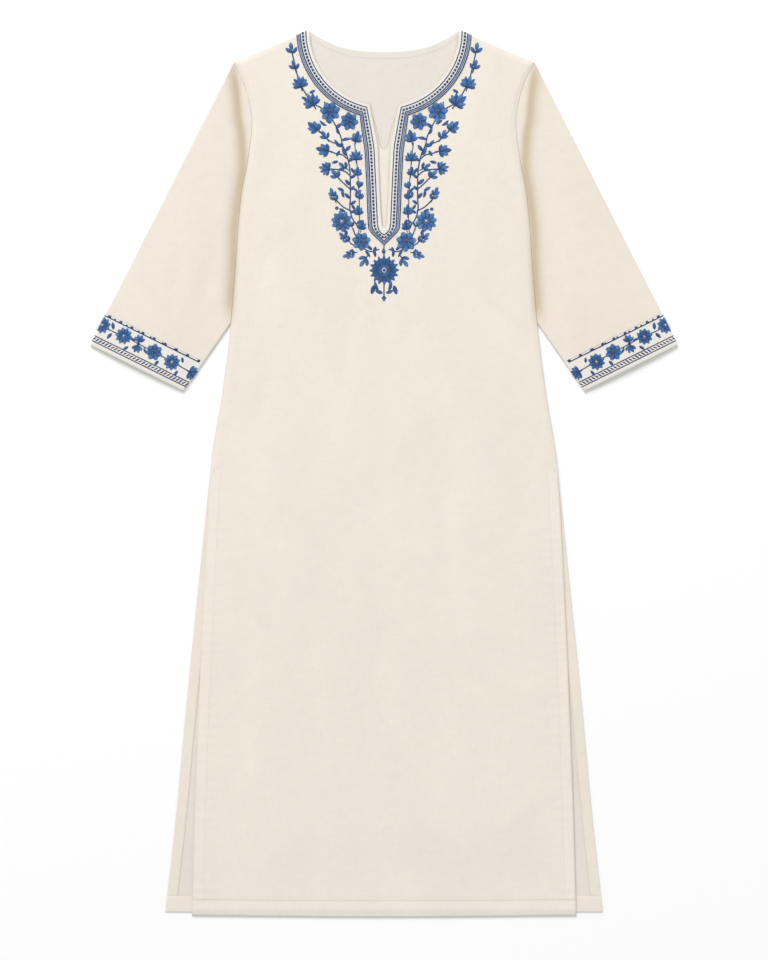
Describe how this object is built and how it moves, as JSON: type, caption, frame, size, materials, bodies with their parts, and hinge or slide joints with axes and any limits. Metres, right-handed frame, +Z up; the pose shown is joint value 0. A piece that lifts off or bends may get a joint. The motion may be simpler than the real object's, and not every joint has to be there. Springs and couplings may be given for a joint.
{
  "type": "kurta tunic, laid flat",
  "caption": "Long cotton tunic laid flat: round neck with a V slit, three-quarter sleeves, side slits, embroidered neck and cuffs.",
  "frame": {"origin": "centre of the underside of the garment's box, on the surface it lies on", "axes": "+Y from hem to collar, +Z up out of the front of the garment, +X towards the wearer's left sleeve"},
  "size_m": [0.8224, 1.239, 0.0056],
  "materials": {
    "cotton": "matte plain-weave cream cotton, right side",
    "cotton_inside": "matte plain-weave cream cotton, the back panel and the turned edges that show",
    "border_cloth": "cotton band covered by close blue and white embroidery",
    "embroidery_thread": "satin-stitched cotton thread, soft sheen, mid blue to navy"
  },
  "bodies": {
    "root": {"back_panel": "cotton_inside", "front_panel": "cotton", "sleeve_left": "cotton", "sleeve_right": "cotton", "cuff_band_left": "border_cloth", "cuff_band_right": "border_cloth", "neck_band": "border_cloth", "back_neck_facing": "cotton_inside", "placket_insert": "cotton", "front_hem": "cotton", "back_hem": "cotton_inside", "slit_hem_front_left": "cotton", "slit_hem_front_right": "cotton", "slit_hem_back_left": "cotton_inside", "slit_hem_back_right": "cotton_inside"}
  },
  "joints": []
}
